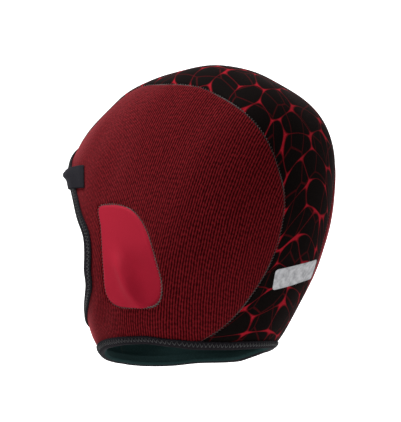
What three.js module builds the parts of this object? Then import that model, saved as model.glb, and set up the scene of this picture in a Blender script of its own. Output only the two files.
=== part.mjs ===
// Full cap of thin neoprene that covers the head, ears, nape and chin and leaves the face and neck open.
// Millimetres, +Z up, the face looks towards -Y and the wearer's left is +X.
// The origin lies inside the crown, where the cap rests on the top of the head.

import * as THREE from 'three';

// Head form, measured from the axis through both ears
const CAP_WIDTH = 160;
const CROWN_RISE = 145.5;
const BACK_REACH = 84;
const FRONT_REACH = 100;
const NECK_DROP = 81;

// Cloth and tape
const WALL = 2.5;
const SEAM_GAP = 0.3;
const TAPE_CLEARANCE = 0.6;
const TAPE_WIDTH = 5.3;
const TAPE_THICKNESS = 1.1;

// Ear patch
const EAR_PATCH_WIDTH = 53;
const EAR_PATCH_HEIGHT = 75;
const EAR_PATCH_FORWARD = 7.8;
const EAR_PATCH_RISE = 4.5;
const EAR_HOLLOW_DEPTH = 3.5;
const EAR_HOLLOW_WIDTH = 11;
const EAR_HOLLOW_HEIGHT = 20;
const EAR_HOLLOW_BACK = 2;
const EAR_HOLLOW_DROP = 17;

// Folded tab on the face tape
const TAB_WIDTH = 14.5;
const TAB_THICKNESS = 1.2;
const TAB_NOSE = 1.8;
const TAB_INNER_WIDTH = 5;
const TAB_HEIGHT = 25;
const TAB_BELOW_SEAM = 17;
const TAB_SLANT = 40;
const TAB_CLEARANCE = 0.8;

// Plain strip at the nape
const STRIP_LENGTH = 46;
const STRIP_HEIGHT = 13;
const STRIP_RISE = 13;
const STRIP_LEAN = 3;
const STRIP_THICKNESS = 0.6;
const STRIP_CLEARANCE = 0.3;
const STRIP_BELOW_EARS = 6.5;
const STRIP_ASIDE = -1;

// Side view of the cap: turn about the ear axis in degrees, 0 at the crown and positive to the rear,
// reach as a share of the guide oval, and squareness of the section from ear to midline
const PROFILE = [
  [-180, 1.0, 2.0],
  [-160, 1.064, 2.1],
  [-149, 1.075, 2.1],
  [-136, 1.045, 2.1],
  [-126, 0.985, 2.2],
  [-110, 0.875, 2.4],
  [-85, 1.0, 2.5],
  [-62, 1.12, 2.3],
  [-45, 1.18, 2.2],
  [-20, 1.058, 2.5],
  [0, 1.0, 2.9],
  [20, 1.142, 2.6],
  [40, 1.315, 2.4],
  [60, 1.265, 2.1],
  [80, 1.084, 2.0],
  [100, 0.918, 2.0],
  [122, 0.86, 1.9],
  [146, 0.897, 1.9],
  [162, 0.941, 2.0],
];

// Seam between side and centre panel: turn, angle to the side, turn of the same station on the midline
const SEAM = [
  [-45.8, 16, -44.1],
  [-30, 19, -29.5],
  [-11, 18.3, -11],
  [5, 22.8, 5],
  [20, 22.5, 20],
  [35, 21.8, 35],
  [50, 19.1, 50],
  [65, 16.4, 65],
  [80, 17.9, 79],
  [95, 21.6, 92],
  [110, 27, 105],
  [124, 31.3, 116.5],
  [140, 36, 128],
  [159.5, 39.8, 140],
];

// Neck edge from the nape seam to the chin: turn, angle to the side
const NECK_EDGE = [
  [159.5, 39.8],
  [165.7, 43.8],
  [177, 46.5],
  [188, 47],
  [200, 46.3],
  [211, 42.3],
  [219, 36.4],
  [224, 29.2],
  [227.3, 20.5],
  [229.3, 10.9],
  [230, 0],
];

// Face edge from the chin to the forehead seam: turn, angle to the side
const FACE_EDGE = [
  [249.6, 0],
  [248, 15.8],
  [246, 28.5],
  [245.6, 38.7],
  [247.5, 47.3],
  [254.6, 56],
  [267.7, 58.6],
  [279.3, 59],
  [293.9, 55.2],
  [302.8, 45.8],
  [308.8, 37.5],
  [311.8, 29.2],
  [313.3, 21.5],
  [314.2, 16],
];

// Ear patch outline: back and up, as shares of its width and height
const EAR_OUTLINE = [
  [-0.5, 0.487],
  [-0.3, 0.497],
  [-0.1, 0.473],
  [0.08, 0.42],
  [0.22, 0.34],
  [0.36, 0.19],
  [0.45, 0.0],
  [0.495, -0.17],
  [0.49, -0.33],
  [0.41, -0.45],
  [0.28, -0.492],
  [0.02, -0.5],
  [-0.2, -0.47],
  [-0.34, -0.4],
  [-0.39, -0.28],
  [-0.385, -0.12],
  [-0.41, 0.1],
  [-0.45, 0.3],
];

// The worn cap sits askew: its nape is slid round to the wearer's right by this angle. The slide starts
// at the first of these turns, is full from the second to the third and has faded out at the last.
const ASKEW = 10;
const ASKEW_TURNS = [55, 140, 155, 190];

// Rows of the two edge tables where the chin strap begins
const NECK_STRAP_ROW = 6;
const FACE_STRAP_ROW = 3;

// Angle on the ear patch, 0 up and positive to the rear, that faces each corner of the side panel
const FAN_AT_FOREHEAD = -50;
const FAN_AT_NAPE = 145;
const FAN_AT_STRAP_BOTTOM = 200;
const FAN_AT_STRAP_TOP = 222;

// Mesh steps
const SEAM_STEPS = 34;
const NECK_STEPS = 12;
const STRAP_STEPS = 9;
const STRAP_HEIGHT_STEPS = 4;
const FACE_STEPS = 24;
const PANEL_RINGS = 6;
const EDGE_RING = 8;
const CENTRE_STEPS = 12;
const PATCH_RINGS = [0, 0.3, 0.55, 0.8];
const STRIP_STEPS = 8;

const EAR_AXIS = new THREE.Vector3(0, 0, -(CROWN_RISE - WALL));
const radians = THREE.MathUtils.degToRad;

// Smooth value of one column of a closed table, by the turn in degrees
function profileValue(turn, column) {
  const rows = PROFILE;
  const count = rows.length;
  const angle = THREE.MathUtils.euclideanModulo(turn + 180, 360) - 180;
  let index = rows.findLastIndex((row) => row[0] <= angle);
  index = Math.max(index, 0);
  const turnOf = (i) => rows[THREE.MathUtils.euclideanModulo(i, count)][0] + 360 * Math.floor(i / count);
  const valueOf = (i) => rows[THREE.MathUtils.euclideanModulo(i, count)][column];
  const slopeOf = (i) => (valueOf(i + 1) - valueOf(i - 1)) / (turnOf(i + 1) - turnOf(i - 1));
  const span = turnOf(index + 1) - turnOf(index);
  const t = (angle - turnOf(index)) / span;
  const keep = (1 + 2 * t) * (1 - t) ** 2;
  const leave = t * (1 - t) ** 2 * span * slopeOf(index);
  const reach = t * t * (3 - 2 * t);
  const arrive = t * t * (t - 1) * span * slopeOf(index + 1);
  return keep * valueOf(index) + leave + reach * valueOf(index + 1) + arrive;
}

// Reach of the guide oval from the ear axis along one turn
function guideReach(turn) {
  const back = Math.sin(turn);
  const up = Math.cos(turn);
  const level = back > 0 ? BACK_REACH : FRONT_REACH;
  const upright = up > 0 ? CROWN_RISE : NECK_DROP;
  return 1 / Math.hypot(back / level, up / upright);
}

// Point of the outer face along a direction from the ear axis
function skinAlong(direction) {
  const unit = direction.clone().normalize();
  const turn = Math.atan2(unit.y, unit.z);
  const turnDegrees = THREE.MathUtils.radToDeg(turn);
  const level = Math.hypot(unit.y, unit.z);
  const reach = guideReach(turn) * profileValue(turnDegrees, 1);
  const squareness = profileValue(turnDegrees, 2);
  const half = CAP_WIDTH / 2;
  const sum = (level / reach) ** squareness + (Math.abs(unit.x) / half) ** squareness;
  return unit.multiplyScalar(sum ** (-1 / squareness)).add(EAR_AXIS);
}

// Nearest way back to the outer face: along the line to the ear axis
function onSkin(point) {
  return skinAlong(point.clone().sub(EAR_AXIS));
}

function skinAt(turn, side) {
  const level = Math.cos(radians(side));
  const back = level * Math.sin(radians(turn));
  const up = level * Math.cos(radians(turn));
  return skinAlong(new THREE.Vector3(Math.sin(radians(side)), back, up));
}

// Outward normal of the cap at a point near its outer face
function normalAt(point) {
  const out = point.clone().sub(EAR_AXIS).normalize();
  const helper = Math.abs(out.z) < 0.9 ? new THREE.Vector3(0, 0, 1) : new THREE.Vector3(0, 1, 0);
  const first = new THREE.Vector3().crossVectors(out, helper).normalize();
  const second = new THREE.Vector3().crossVectors(out, first);
  const step = 0.01;
  const slope = (way) => {
    const ahead = skinAlong(out.clone().addScaledVector(way, step));
    const behind = skinAlong(out.clone().addScaledVector(way, -step));
    return ahead.sub(behind);
  };
  const normal = new THREE.Vector3().crossVectors(slope(first), slope(second)).normalize();
  return normal.dot(out) < 0 ? normal.negate() : normal;
}

// Point at a depth below the outer face
function below(point, depth) {
  return point.clone().addScaledVector(normalAt(point), -depth);
}

// Evenly spaced points on the cap along part of a table of turns and side angles
function skinLine(rows, steps, firstRow = 0, lastRow = rows.length - 1) {
  const knots = rows.map((row) => skinAt(row[0], row[1]));
  const curve = new THREE.CatmullRomCurve3(knots, false, 'centripetal');
  const dense = 20 * steps;
  const points = Array.from({ length: dense + 1 }, (_, index) => {
    return curve.getPoint(THREE.MathUtils.lerp(firstRow, lastRow, index / dense) / (rows.length - 1));
  });
  return evenly(points, steps).map(onSkin);
}

// Points at equal distances along a dense line
function evenly(points, steps) {
  const lengths = [0];
  points.slice(1).forEach((point, index) => lengths.push(lengths[index] + point.distanceTo(points[index])));
  return Array.from({ length: steps + 1 }, (_, step) => {
    const wanted = (lengths.at(-1) * step) / steps;
    const next = Math.max(lengths.findIndex((length) => length >= wanted - 1e-9), 1);
    const share = (wanted - lengths[next - 1]) / (lengths[next] - lengths[next - 1]);
    return points[next - 1].clone().lerp(points[next], share);
  });
}

// The same points moved in the cloth across their line, to the wearer's left if the distance is positive
function movedLeft(points, distance) {
  return points.map((point, index) => {
    const before = points[Math.max(index - 1, 0)];
    const after = points[Math.min(index + 1, points.length - 1)];
    const along = after.clone().sub(before);
    const across = new THREE.Vector3().crossVectors(along, normalAt(point)).normalize();
    return onSkin(point.clone().addScaledVector(across, Math.sign(across.x) * distance));
  });
}

// Point of the worn cap, slid round the head where the nape sits askew
function askew(point) {
  const out = point.clone().sub(EAR_AXIS);
  const turn = THREE.MathUtils.radToDeg(Math.atan2(out.y, out.z));
  const side = Math.atan2(out.x, Math.hypot(out.y, out.z));
  const wound = THREE.MathUtils.euclideanModulo(turn, 360);
  const [start, full, fading, end] = ASKEW_TURNS;
  const gained = THREE.MathUtils.smoothstep(wound, start, full);
  const lost = THREE.MathUtils.smoothstep(wound, fading, end);
  const slide = ASKEW * (gained - lost) * Math.cos(side) ** 2;
  const rise = out.length() - skinAlong(out).distanceTo(EAR_AXIS);
  const skin = skinAt(turn, THREE.MathUtils.radToDeg(side) - slide);
  const way = skin.clone().sub(EAR_AXIS).normalize();
  return skin.addScaledVector(way, rise);
}

function mirrored(points) {
  return points.map((point) => new THREE.Vector3(-point.x, point.y, point.z));
}

function signedVolume(points, faces) {
  return faces.reduce((sum, [a, b, c]) => sum + points[a].dot(points[b].clone().cross(points[c])) / 6, 0);
}

// Closed mesh from points and faces, turned so that its faces point out
function solidMesh(name, plainPoints, faces, material) {
  const points = plainPoints.map(askew);
  const outward = signedVolume(points, faces) > 0;
  const turned = outward ? faces : faces.map(([a, b, c]) => [a, c, b]);
  const geometry = new THREE.BufferGeometry();
  const numbers = points.flatMap((point) => point.toArray());
  geometry.setAttribute('position', new THREE.Float32BufferAttribute(numbers, 3));
  geometry.setIndex(turned.flat());
  geometry.computeVertexNormals();
  const mesh = new THREE.Mesh(geometry, material);
  mesh.name = name;
  return mesh;
}

// Faces of a grid of points, closed round as a ring if asked
function gridFaces(rows, columns, ring, indexOf = (row, column) => row * columns + (column % columns)) {
  const faces = [];
  for (let row = 0; row < rows - 1; row += 1) {
    for (let column = 0; column < (ring ? columns : columns - 1); column += 1) {
      const a = indexOf(row, column);
      const b = indexOf(row, column + 1);
      const c = indexOf(row + 1, column + 1);
      const d = indexOf(row + 1, column);
      faces.push([a, b, c], [a, c, d]);
    }
  }
  return faces;
}

// Solid sheet of an even depth under a surface, with a wall along each open edge
function sheetMesh(name, points, faces, depth, material, form = () => 0) {
  const count = points.length;
  const top = points.map((point) => below(point, form(point)));
  const bottom = points.map((point) => below(point, form(point) + depth));
  const closed = [...faces, ...faces.map(([a, b, c]) => [a + count, c + count, b + count])];
  const edges = new Set(faces.flatMap(([a, b, c]) => [`${a} ${b}`, `${b} ${c}`, `${c} ${a}`]));
  for (const edge of edges) {
    const [from, to] = edge.split(' ').map(Number);
    if (!edges.has(`${to} ${from}`)) {
      closed.push([to, from, from + count], [to, from + count, to + count]);
    }
  }
  return solidMesh(name, [...top, ...bottom], closed, material);
}

// Point where a line that starts inside the cap crosses the outer face
function crossing(pointAt) {
  let inside = 0;
  let outside = CAP_WIDTH;
  for (let pass = 0; pass < 40; pass += 1) {
    const middle = (inside + outside) / 2;
    const point = pointAt(middle);
    const skin = onSkin(point);
    if (point.distanceTo(EAR_AXIS) < skin.distanceTo(EAR_AXIS)) {
      inside = middle;
    } else {
      outside = middle;
    }
  }
  return pointAt(inside);
}

// Point of the left outer face at a distance back and up from the middle of the ear patch
function pointBesideEar(back, up) {
  const y = back - EAR_PATCH_FORWARD;
  const z = up + EAR_PATCH_RISE + EAR_AXIS.z;
  return crossing((out) => new THREE.Vector3(out, y, z));
}

// Closed outline of the ear patch as angle and reach about its middle, shrunk by a gap
function earOutlinePoint(angle, gap) {
  const knots = EAR_OUTLINE.map(([back, up]) => {
    return new THREE.Vector3(back * EAR_PATCH_WIDTH, up * EAR_PATCH_HEIGHT, 0);
  });
  const curve = new THREE.CatmullRomCurve3(knots, true, 'centripetal');
  const points = curve.getPoints(12 * knots.length);
  const turnOf = (point) => Math.atan2(point.x, point.y);
  const gapTo = (point) => {
    const turn = turnOf(point) - radians(angle);
    return Math.abs(Math.atan2(Math.sin(turn), Math.cos(turn)));
  };
  const nearest = [...points].sort((a, b) => gapTo(a) - gapTo(b)).slice(0, 2);
  const total = gapTo(nearest[0]) + gapTo(nearest[1]);
  const share = total > 0 ? gapTo(nearest[0]) / total : 0;
  const reach = THREE.MathUtils.lerp(nearest[0].length(), nearest[1].length(), share) - gap;
  return pointBesideEar(reach * Math.sin(radians(angle)), reach * Math.cos(radians(angle)));
}

// Angles on the ear patch that face the stations round the side panel
function fanAngles() {
  const run = (from, to, steps) => {
    return Array.from({ length: steps }, (_, step) => THREE.MathUtils.lerp(from, to, step / steps));
  };
  return [
    ...run(FAN_AT_FOREHEAD, FAN_AT_NAPE, SEAM_STEPS),
    ...run(FAN_AT_NAPE, FAN_AT_STRAP_BOTTOM, NECK_STEPS),
    ...run(FAN_AT_STRAP_BOTTOM, FAN_AT_STRAP_TOP, STRAP_HEIGHT_STEPS),
    ...run(FAN_AT_STRAP_TOP, FAN_AT_FOREHEAD + 360, FACE_STEPS),
  ];
}

// Edges that the panels and tapes share, on the left side
const seamLine = skinLine(SEAM, SEAM_STEPS);
const neckSide = skinLine(NECK_EDGE, NECK_STEPS, 0, NECK_STRAP_ROW);
const neckChin = skinLine(NECK_EDGE, STRAP_STEPS, NECK_STRAP_ROW);
const faceChin = skinLine(FACE_EDGE, STRAP_STEPS, 0, FACE_STRAP_ROW);
const faceSide = skinLine(FACE_EDGE, FACE_STEPS, FACE_STRAP_ROW);
const neckLine = [...neckSide, ...neckChin.slice(1)];
const faceLine = [...faceChin, ...faceSide.slice(1)];

// Grid of the chin strap, from its root below the ear to the middle of the chin
function strapGrid() {
  const upper = [...faceChin].reverse();
  return Array.from({ length: STRAP_HEIGHT_STEPS + 1 }, (_, row) => {
    return neckChin.map((point, column) => {
      const place = onSkin(point.clone().lerp(upper[column], row / STRAP_HEIGHT_STEPS));
      place.x = Math.max(place.x, SEAM_GAP / 2);
      return place;
    });
  });
}

// Side panel: a ring of rows round the ear patch and the chin strap that grows out of it
function sidePanel(name, left, material) {
  const strap = strapGrid();
  const root = strap.map((row) => row[0]);
  const seam = movedLeft(seamLine, SEAM_GAP / 2);
  const edge = [...seam.slice(0, -1), seam.at(-1), ...neckSide.slice(1, -1), ...root, ...faceSide.slice(1, -1)];
  const hole = fanAngles().map((angle) => earOutlinePoint(angle, 0));
  const rings = Array.from({ length: PANEL_RINGS + 1 }, (_, ring) => {
    return edge.map((point, index) => {
      const near = EDGE_RING / point.distanceTo(hole[index]);
      const share = ring ? near + ((1 - near) * (ring - 1)) / (PANEL_RINGS - 1) : 0;
      return onSkin(point.clone().lerp(hole[index], share));
    });
  });
  const points = [...rings.flat(), ...strap.flatMap((row) => row.slice(1))];
  const rootStart = SEAM_STEPS + NECK_STEPS;
  const strapStart = rings.flat().length;
  const strapIndex = (row, column) => {
    return column ? strapStart + row * STRAP_STEPS + column - 1 : rootStart + row;
  };
  const faces = [
    ...gridFaces(rings.length, edge.length, true),
    ...gridFaces(strap.length, strap[0].length, false, strapIndex),
  ];
  return sheetMesh(name, left ? points : mirrored(points), faces, WALL, material);
}

// Depth of the moulded hollow behind the ear fold
function earHollow(point) {
  const back = point.y + EAR_PATCH_FORWARD - EAR_HOLLOW_BACK;
  const up = point.z - EAR_AXIS.z - EAR_PATCH_RISE + EAR_HOLLOW_DROP;
  const reach = Math.hypot(back / EAR_HOLLOW_WIDTH, up / EAR_HOLLOW_HEIGHT);
  return reach < 1 ? EAR_HOLLOW_DEPTH * (1 - reach * reach) ** 2 : 0;
}

// Ear patch: rings from its rim to its middle
function earPatch(name, left, material) {
  const rim = fanAngles().map((angle) => earOutlinePoint(angle, SEAM_GAP));
  const centre = pointBesideEar(0, 0);
  const rings = PATCH_RINGS.map((share) => rim.map((point) => onSkin(point.clone().lerp(centre, share))));
  const points = [...rings.flat(), centre];
  const last = (rings.length - 1) * rim.length;
  const faces = gridFaces(rings.length, rim.length, true);
  rim.forEach((_, index) => faces.push([last + index, last + ((index + 1) % rim.length), points.length - 1]));
  return sheetMesh(name, left ? points : mirrored(points), faces, WALL, material, earHollow);
}

// Row of the centre panel from the left seam to the right seam
function centreRow(index) {
  const share = index / SEAM_STEPS;
  const curve = new THREE.CatmullRomCurve3(
    SEAM.map((row) => skinAt(row[2], 0)), false, 'centripetal',
  );
  const middle = onSkin(curve.getPointAt(share));
  const start = movedLeft(seamLine, -SEAM_GAP / 2)[index];
  const row = [];
  for (let step = -CENTRE_STEPS / 2; step <= CENTRE_STEPS / 2; step += 1) {
    const across = (2 * step) / CENTRE_STEPS;
    const point = middle.clone().lerp(start, across * across);
    point.x = -start.x * across;
    row.push(onSkin(point));
  }
  return row;
}

function centrePanel(name, material) {
  const rows = Array.from({ length: SEAM_STEPS + 1 }, (_, index) => centreRow(index));
  return sheetMesh(name, rows.flat(), gridFaces(rows.length, rows[0].length, false), WALL, material);
}

// Closed edge loops: the left side, the centre panel's end and the right side
function faceLoop() {
  const across = centreRow(0).slice(1, -1);
  const right = mirrored(faceLine).reverse();
  return [...faceLine, ...across, ...right.slice(0, -1)];
}

function neckLoop() {
  const across = centreRow(SEAM_STEPS).slice(1, -1).reverse();
  const right = mirrored(neckLine).reverse();
  return [...neckLine, ...right.slice(1), ...across];
}

// Faces that close the end of a folded tape, by corner of its section
const FOLD_END = [
  [0, 1, 2],
  [0, 2, 9],
  [9, 2, 3],
  [9, 3, 4],
  [9, 4, 8],
  [8, 4, 5],
  [8, 5, 6],
  [8, 6, 7],
];

// Corners of a tape folded over an edge of the cloth: outer leg, fold, inner leg and back inside
function foldCorners(place, fold) {
  const near = fold.clearance;
  const far = near + fold.thickness;
  const bend = near + fold.thickness / 2;
  return [
    place(-fold.lap, -near),
    place(-fold.lap, -far),
    place(near, -far - fold.nose),
    place(far + fold.nose / 2, -bend / 2 - fold.nose / 2),
    place(far, WALL + bend / 2),
    place(near, WALL + far),
    place(-fold.innerLap, WALL + far),
    place(-fold.innerLap, WALL + near),
    place(near, WALL + near),
    place(near, -near),
  ];
}

// Directions out past the edge at each station of a closed edge loop
function acrossLoop(loop) {
  const count = loop.length;
  const centre = loop.reduce((sum, point) => sum.add(point), new THREE.Vector3()).divideScalar(count);
  return loop.map((point, station) => {
    const along = loop[(station + 1) % count].clone().sub(loop[(station + count - 1) % count]);
    const across = new THREE.Vector3().crossVectors(along, normalAt(point)).normalize();
    return across.dot(centre.clone().sub(point)) < 0 ? across.negate() : across;
  });
}

// Way to set points beside a point of the edge: out past the edge, and down through the cloth
function placer(point, across) {
  return (out, depth) => {
    const base = point.clone().addScaledVector(across, out);
    return below(out < 0 ? onSkin(base) : base, depth);
  };
}

// Closed mesh through a row of folded sections, round as a ring or closed at both ends
function foldedMesh(name, sections, ring, material) {
  const sides = sections[0].length;
  const faces = [];
  const at = (section, side) => (section % sections.length) * sides + (side % sides);
  const spans = ring ? sections.length : sections.length - 1;
  for (let section = 0; section < spans; section += 1) {
    for (let side = 0; side < sides; side += 1) {
      const a = at(section, side);
      const b = at(section, side + 1);
      const c = at(section + 1, side + 1);
      const d = at(section + 1, side);
      faces.push([a, b, c], [a, c, d]);
    }
  }
  if (!ring) {
    faces.push(...FOLD_END.map(([a, b, c]) => [a, c, b]));
    faces.push(...FOLD_END.map((corners) => corners.map((side) => at(spans, side))));
  }
  return solidMesh(name, sections.flat(), faces, material);
}

// Stretch tape folded round a closed edge loop
function edgeTape(name, loop, material) {
  const fold = {
    lap: TAPE_WIDTH,
    innerLap: TAPE_WIDTH,
    clearance: TAPE_CLEARANCE,
    thickness: TAPE_THICKNESS,
    nose: 0,
  };
  const across = acrossLoop(loop);
  const sections = loop.map((point, station) => foldCorners(placer(point, across[station]), fold));
  return foldedMesh(name, sections, true, material);
}

// Short tab folded over the face tape at the left temple, with a rounded nose
function bindingTab(name, material) {
  const loop = faceLoop();
  const station = faceSide[0].distanceTo(faceSide[1]);
  const steps = Math.round(TAB_HEIGHT / station);
  const first = faceLine.length - 1 - Math.round(TAB_BELOW_SEAM / station) - steps;
  const stations = loop.slice(first, first + steps + 1);
  const along = stations.at(-1).clone().sub(stations[0]).normalize();
  const across = acrossLoop(loop)[first + Math.round(steps / 2)];
  across.addScaledVector(along, Math.tan(THREE.MathUtils.degToRad(TAB_SLANT)));
  const sections = stations.map((point, step) => {
    const fold = {
      lap: TAB_WIDTH,
      innerLap: TAB_INNER_WIDTH,
      clearance: TAPE_CLEARANCE + TAPE_THICKNESS + TAB_CLEARANCE,
      thickness: TAB_THICKNESS,
      nose: TAB_NOSE * Math.sin((Math.PI * step) / steps),
    };
    return foldCorners(placer(point, across), fold);
  });
  return foldedMesh(name, sections, false, material);
}

// Thin slanted strip on the nape
function napeStrip(name, material) {
  const grid = [0.5, 0, -0.5].map((up) => {
    return Array.from({ length: STRIP_STEPS + 1 }, (_, index) => {
      const along = index / STRIP_STEPS - 0.5;
      const x = STRIP_ASIDE - along * STRIP_LENGTH + up * STRIP_LEAN;
      const z = EAR_AXIS.z - STRIP_BELOW_EARS + up * STRIP_HEIGHT + along * STRIP_RISE;
      const skin = crossing((back) => new THREE.Vector3(x, back, z));
      return below(skin, -STRIP_CLEARANCE - STRIP_THICKNESS);
    });
  });
  const faces = gridFaces(grid.length, grid[0].length, false);
  return sheetMesh(name, grid.flat(), faces, STRIP_THICKNESS, material);
}

function cloth(colour, roughness) {
  return new THREE.MeshStandardMaterial({ color: colour, roughness, metalness: 0 });
}

const sideCloth = cloth(0x6a141b, 0.85);
const centreCloth = cloth(0x141012, 0.85);
const earCloth = cloth(0xa01d32, 0.6);
const tapeCloth = cloth(0x2b2b30, 0.8);
const tabCloth = cloth(0x32323a, 0.7);
const stripFilm = cloth(0xb9bcc2, 0.45);

const cap = new THREE.Group();
cap.name = 'neoprene_cap';
cap.add(
  sidePanel('side_panel_left', true, sideCloth),
  sidePanel('side_panel_right', false, sideCloth),
  centrePanel('centre_panel', centreCloth),
  earPatch('ear_patch_left', true, earCloth),
  earPatch('ear_patch_right', false, earCloth),
  edgeTape('face_binding', faceLoop(), tapeCloth),
  edgeTape('neck_binding', neckLoop(), tapeCloth),
  bindingTab('binding_tab', tabCloth),
  napeStrip('nape_strip', stripFilm),
);

export default cap;
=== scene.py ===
# Full neoprene cap: ribbed dark red sides, black centre panel with a red net, ear patches and taped edges.
import math

import bpy
import numpy as np
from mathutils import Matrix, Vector


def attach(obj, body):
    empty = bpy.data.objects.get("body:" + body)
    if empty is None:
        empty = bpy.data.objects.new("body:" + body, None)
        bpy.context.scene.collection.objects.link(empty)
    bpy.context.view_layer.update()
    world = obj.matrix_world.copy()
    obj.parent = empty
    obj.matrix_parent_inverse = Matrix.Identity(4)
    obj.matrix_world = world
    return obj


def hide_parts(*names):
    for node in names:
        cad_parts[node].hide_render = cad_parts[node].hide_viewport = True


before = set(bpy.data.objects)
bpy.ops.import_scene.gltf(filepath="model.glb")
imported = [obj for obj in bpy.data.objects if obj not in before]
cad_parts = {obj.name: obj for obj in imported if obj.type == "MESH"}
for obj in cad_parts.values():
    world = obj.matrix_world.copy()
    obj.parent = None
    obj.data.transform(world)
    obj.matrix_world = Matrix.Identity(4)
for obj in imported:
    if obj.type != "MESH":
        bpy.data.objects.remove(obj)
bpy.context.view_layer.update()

MM = 0.001

# Head form, measured from the axis through both ears
CAP_WIDTH = 160 * MM
CROWN_RISE = 145.5 * MM
BACK_REACH = 84 * MM
FRONT_REACH = 100 * MM
NECK_DROP = 81 * MM

# Cloth and tape
WALL = 2.5 * MM
SEAM_GAP = 0.3 * MM
TAPE_CLEARANCE = 0.15 * MM
TAPE_WIDTH = 5.3 * MM
TAPE_THICKNESS = 1.2 * MM

# Ear patch
EAR_PATCH_WIDTH = 53 * MM
EAR_PATCH_HEIGHT = 75 * MM
EAR_PATCH_FORWARD = 7.8 * MM
EAR_PATCH_RISE = 4.5 * MM

# Folded tab on the face tape: it laps further at its upper end and its nose stands up from the fold
TAB_UPPER_WIDTH = 21 * MM
TAB_LOWER_WIDTH = 14 * MM
TAB_INNER_WIDTH = 5 * MM
TAB_THICKNESS = 1.0 * MM
TAB_HEIGHT = 25 * MM
TAB_BELOW_SEAM = 18 * MM
TAB_SLANT = math.radians(45)
TAB_NOSE = 1.5 * MM

# Plain strip at the nape
STRIP_LENGTH = 46 * MM
STRIP_HEIGHT = 13 * MM
STRIP_RISE = 13 * MM
STRIP_LEAN = 3 * MM
STRIP_BELOW_EARS = 6.5 * MM
STRIP_ASIDE = -1 * MM
STRIP_CORNER = 2 * MM

EAR_AXIS = np.array([0, 0, -(CROWN_RISE - WALL)])

# Side view of the cap: turn about the ear axis, reach as a share of the guide oval, squareness of the section
PROFILE = [
    (-180, 1.0, 2.0),
    (-160, 1.064, 2.1),
    (-149, 1.075, 2.1),
    (-136, 1.045, 2.1),
    (-126, 0.985, 2.2),
    (-110, 0.875, 2.4),
    (-85, 1.0, 2.5),
    (-62, 1.12, 2.3),
    (-45, 1.18, 2.2),
    (-20, 1.058, 2.5),
    (0, 1.0, 2.9),
    (20, 1.142, 2.6),
    (40, 1.315, 2.4),
    (60, 1.265, 2.1),
    (80, 1.084, 2.0),
    (100, 0.918, 2.0),
    (122, 0.86, 1.9),
    (146, 0.897, 1.9),
    (162, 0.941, 2.0),
]

# Seam between side and centre panel: turn, angle to the side, turn of the same station on the midline
SEAM = [
    (-45.8, 16, -44.1),
    (-30, 19, -29.5),
    (-11, 18.3, -11),
    (5, 22.8, 5),
    (20, 22.5, 20),
    (35, 21.8, 35),
    (50, 19.1, 50),
    (65, 16.4, 65),
    (80, 17.9, 79),
    (95, 21.6, 92),
    (110, 27, 105),
    (124, 31.3, 116.5),
    (140, 36, 128),
    (159.5, 39.8, 140),
]

# Neck edge from the nape seam to the chin: turn, angle to the side
NECK_EDGE = [
    (159.5, 39.8),
    (165.7, 43.8),
    (177, 46.5),
    (188, 47),
    (200, 46.3),
    (211, 42.3),
    (219, 36.4),
    (224, 29.2),
    (227.3, 20.5),
    (229.3, 10.9),
    (230, 0),
]

# Face edge from the chin to the forehead seam: turn, angle to the side
FACE_EDGE = [
    (249.6, 0),
    (248, 15.8),
    (246, 28.5),
    (245.6, 38.7),
    (247.5, 47.3),
    (254.6, 56),
    (267.7, 58.6),
    (279.3, 59),
    (293.9, 55.2),
    (302.8, 45.8),
    (308.8, 37.5),
    (311.8, 29.2),
    (313.3, 21.5),
    (314.2, 16),
]
NECK_STRAP_ROW = 6
FACE_STRAP_ROW = 3

# The worn cap sits askew: its nape is slid round to the wearer's right by this angle in degrees. The slide
# starts at the first of these turns, is full from the second to the third and has faded out at the last.
ASKEW = 10
ASKEW_TURNS = (55, 140, 155, 190)

# Ear patch outline: back and up, as shares of its width and height
EAR_OUTLINE = [
    (-0.5, 0.487),
    (-0.3, 0.497),
    (-0.1, 0.473),
    (0.08, 0.42),
    (0.22, 0.34),
    (0.36, 0.19),
    (0.45, 0.0),
    (0.495, -0.17),
    (0.49, -0.33),
    (0.41, -0.45),
    (0.28, -0.492),
    (0.02, -0.5),
    (-0.2, -0.47),
    (-0.34, -0.4),
    (-0.39, -0.28),
    (-0.385, -0.12),
    (-0.41, 0.1),
    (-0.45, 0.3),
]

# Dents and bulges of the worn cloth: turn, side angle, spread in degrees, depth in millimetres
DENTS = [
    (31, -2, 9, 1.6),
    (58, -22, 9, 1.2),
    (44, -14, 7, -1.2),
    (-33, 8, 10, 0.8),
    (100, 30, 12, 0.8),
]

# Angles on the ear patch that face the corners of the side panel
FAN = (-50, 145, 200, 222)

# Mesh steps
SEAM_STEPS = 170
NECK_STEPS = 60
STRAP_STEPS = 45
STRAP_HEIGHT_STEPS = 16
FACE_STEPS = 110
PANEL_RINGS = 44
CENTRE_STEPS = 56
PATCH_RINGS = 30


# Periodic smooth value of a profile column
def profile_value(turn, column):
    rows = np.array(PROFILE, float)
    turns = np.concatenate([rows[-2:, 0] - 360, rows[:, 0], rows[:3, 0] + 360])
    values = np.concatenate([rows[-2:, column], rows[:, column], rows[:3, column]])
    angle = (np.asarray(turn) + 180) % 360 - 180
    index = np.searchsorted(turns, angle, side="right") - 1
    span = turns[index + 1] - turns[index]
    slope = (values[index + 1] - values[index - 1]) / (turns[index + 1] - turns[index - 1])
    next_slope = (values[index + 2] - values[index]) / (turns[index + 2] - turns[index])
    t = (angle - turns[index]) / span
    keep = (1 + 2 * t) * (1 - t) ** 2
    reach = t * t * (3 - 2 * t)
    leave = t * (1 - t) ** 2 * span * slope
    arrive = t * t * (t - 1) * span * next_slope
    return keep * values[index] + leave + reach * values[index + 1] + arrive


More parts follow.
